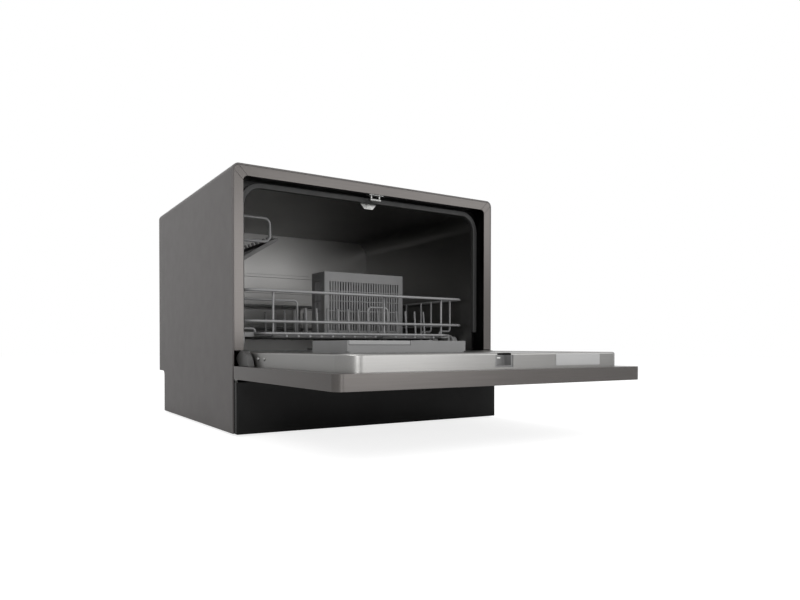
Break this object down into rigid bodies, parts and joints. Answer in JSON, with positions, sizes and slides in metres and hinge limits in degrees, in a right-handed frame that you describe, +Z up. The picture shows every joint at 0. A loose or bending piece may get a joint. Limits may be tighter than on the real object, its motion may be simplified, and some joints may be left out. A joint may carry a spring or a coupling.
{
  "type": "countertop dishwasher",
  "caption": "Compact box-shaped countertop dishwasher with a drop-down front door, a roll-out wire rack with cup shelf and cutlery basket, and a spray arm.",
  "frame": {"origin": "middle of the bounding box on the worktop plane, with the door open", "axes": "+X to the right seen from the front, +Y from the door to the rear panel, +Z up"},
  "size_m": [0.55, 0.822, 0.438],
  "materials": {
    "casing_paint": "satin",
    "frame_steel": "satin",
    "kick_gloss": "gloss",
    "rear_steel": "satin",
    "tray_plastic": "matte",
    "rubber": "matte",
    "stainless": "brushed",
    "plated_steel": "satin",
    "spring_steel": "satin",
    "grey_plastic": "matte",
    "white_plastic": "matte",
    "hose": "matte",
    "core_plastic": "matte",
    "circuit_board": "satin",
    "light_plastic": "matte",
    "button_plastic": "satin",
    "coated_wire": "satin",
    "wheel_plastic": "matte"
  },
  "bodies": {
    "cabinet": {"outer_casing": "casing_paint", "front_frame": "frame_steel", "kick_plate": "kick_gloss", "rear_panel": "rear_steel", "base_tray": "tray_plastic", "feet": "rubber", "tub_wrap": "stainless", "tub_back": "stainless", "tub_floor": "stainless", "door_gasket": "rubber", "latch_striker": "plated_steel", "sump": "grey_plastic", "fine_filter": "stainless", "spray_arm_stand": "grey_plastic", "pumps": "grey_plastic", "inlet_valve": "white_plastic", "water_heater": "stainless", "air_break": "white_plastic", "inner_hoses": "hose", "inlet_connector": "plated_steel", "drain_spigot": "grey_plastic", "cable_gland": "rubber", "hinge_brackets": "plated_steel", "hinge_springs": "spring_steel", "casing_screws": "plated_steel"},
    "door": {"door_panel": "frame_steel", "door_core": "core_plastic", "door_liner": "stainless", "liner_screws": "plated_steel", "hinge_cheeks": "grey_plastic", "control_fascia": "kick_gloss", "control_board": "circuit_board", "dispenser_body": "grey_plastic", "latch_housing": "grey_plastic"},
    "rack": {"rack_rails": "coated_wire", "rack_base": "coated_wire", "rack_hoops": "coated_wire", "rack_sides": "coated_wire", "rack_tines": "coated_wire", "cup_rack": "coated_wire", "cup_guard": "coated_wire", "wheel_carriers": "light_plastic"},
    "dispenser_lid": {"dispenser_lid": "light_plastic"},
    "rinse_aid_cap": {"rinse_aid_cap": "light_plastic"},
    "latch_catch": {"latch_catch": "white_plastic"},
    "power_button": {"power_button": "button_plastic"},
    "program_button": {"program_button": "button_plastic"},
    "start_button": {"start_button": "button_plastic"},
    "coarse_filter": {"coarse_filter": "grey_plastic"},
    "spray_arm": {"spray_arm": "grey_plastic"},
    "cup_shelf": {"cup_shelf": "grey_plastic"},
    "cutlery_basket": {"cutlery_basket": "grey_plastic"},
    "wheel_front_left_1": {"wheel_front_left_1": "wheel_plastic"},
    "wheel_front_left_2": {"wheel_front_left_2": "wheel_plastic"},
    "wheel_rear_left_1": {"wheel_rear_left_1": "wheel_plastic"},
    "wheel_rear_left_2": {"wheel_rear_left_2": "wheel_plastic"},
    "wheel_front_right_1": {"wheel_front_right_1": "wheel_plastic"},
    "wheel_front_right_2": {"wheel_front_right_2": "wheel_plastic"},
    "wheel_rear_right_1": {"wheel_rear_right_1": "wheel_plastic"},
    "wheel_rear_right_2": {"wheel_rear_right_2": "wheel_plastic"}
  },
  "joints": [
    {"name": "door_hinge", "type": "hinge", "parent": "cabinet", "child": "door", "pos_m": [0, -0.0794, 0.1024], "axis": [1, 0, 0], "range_deg": [-90, 0]},
    {"name": "rack_slide", "type": "slide", "parent": "cabinet", "child": "rack", "axis": [0, -1, 0], "range_m": [0, 0.326]},
    {"name": "cup_shelf_fold", "type": "hinge", "parent": "rack", "child": "cup_shelf", "pos_m": [-0.2269, 0, 0.2877], "axis": [0, -1, 0], "range_deg": [0, 38]},
    {"name": "basket_lift", "type": "slide", "parent": "rack", "child": "cutlery_basket", "axis": [0, 0, 1], "range_m": [0, 0.1]},
    {"name": "spray_arm_turn", "type": "hinge", "parent": "cabinet", "child": "spray_arm", "pos_m": [0, 0.1661, 0.13], "axis": [0, 0, 1], "continuous": true},
    {"name": "filter_turn", "type": "hinge", "parent": "cabinet", "child": "coarse_filter", "pos_m": [0.085, 0.1661, 0.1], "axis": [0, 0, 1], "range_deg": [0, 90]},
    {"name": "dispenser_lid_slide", "type": "slide", "parent": "door", "child": "dispenser_lid", "axis": [0, 1, 0], "range_m": [0, 0.046]},
    {"name": "rinse_cap_turn", "type": "hinge", "parent": "door", "child": "rinse_aid_cap", "pos_m": [-0.0725, -0.3, 0.148], "axis": [0, 0, 1], "range_deg": [0, 90]},
    {"name": "latch_catch_slide", "type": "slide", "parent": "door", "child": "latch_catch", "axis": [0, -1, 0], "range_m": [0, 0.006]},
    {"name": "power_press", "type": "slide", "parent": "door", "child": "power_button", "axis": [0, 0, 1], "range_m": [0, 0.001], "stiffness_N_per_m": 300},
    {"name": "program_press", "type": "slide", "parent": "door", "child": "program_button", "axis": [0, 0, 1], "range_m": [0, 0.001], "stiffness_N_per_m": 300},
    {"name": "start_press", "type": "slide", "parent": "door", "child": "start_button", "axis": [0, 0, 1], "range_m": [0, 0.001], "stiffness_N_per_m": 300},
    {"name": "wheel_front_left_1_roll", "type": "hinge", "parent": "rack", "child": "wheel_front_left_1", "pos_m": [-0.238, 0.014, 0.151], "axis": [1, 0, 0], "range_deg": [0, 1170]},
    {"name": "wheel_front_left_2_roll", "type": "hinge", "parent": "rack", "child": "wheel_front_left_2", "pos_m": [-0.238, 0.078, 0.151], "axis": [1, 0, 0], "range_deg": [0, 1170]},
    {"name": "wheel_rear_left_1_roll", "type": "hinge", "parent": "rack", "child": "wheel_rear_left_1", "pos_m": [-0.238, 0.282, 0.151], "axis": [1, 0, 0], "range_deg": [0, 1170]},
    {"name": "wheel_rear_left_2_roll", "type": "hinge", "parent": "rack", "child": "wheel_rear_left_2", "pos_m": [-0.238, 0.346, 0.151], "axis": [1, 0, 0], "range_deg": [0, 1170]},
    {"name": "wheel_front_right_1_roll", "type": "hinge", "parent": "rack", "child": "wheel_front_right_1", "pos_m": [0.238, 0.014, 0.151], "axis": [1, 0, 0], "range_deg": [0, 1170]},
    {"name": "wheel_front_right_2_roll", "type": "hinge", "parent": "rack", "child": "wheel_front_right_2", "pos_m": [0.238, 0.078, 0.151], "axis": [1, 0, 0], "range_deg": [0, 1170]},
    {"name": "wheel_rear_right_1_roll", "type": "hinge", "parent": "rack", "child": "wheel_rear_right_1", "pos_m": [0.238, 0.282, 0.151], "axis": [1, 0, 0], "range_deg": [0, 1170]},
    {"name": "wheel_rear_right_2_roll", "type": "hinge", "parent": "rack", "child": "wheel_rear_right_2", "pos_m": [0.238, 0.346, 0.151], "axis": [1, 0, 0], "range_deg": [0, 1170]}
  ],
  "couplings": [
    {"joint": "wheel_front_left_1_roll", "follows": "rack_slide", "rad_per_m": 62.5},
    {"joint": "wheel_front_left_2_roll", "follows": "rack_slide", "rad_per_m": 62.5},
    {"joint": "wheel_rear_left_1_roll", "follows": "rack_slide", "rad_per_m": 62.5},
    {"joint": "wheel_rear_left_2_roll", "follows": "rack_slide", "rad_per_m": 62.5},
    {"joint": "wheel_front_right_1_roll", "follows": "rack_slide", "rad_per_m": 62.5},
    {"joint": "wheel_front_right_2_roll", "follows": "rack_slide", "rad_per_m": 62.5},
    {"joint": "wheel_rear_right_1_roll", "follows": "rack_slide", "rad_per_m": 62.5},
    {"joint": "wheel_rear_right_2_roll", "follows": "rack_slide", "rad_per_m": 62.5}
  ]
}
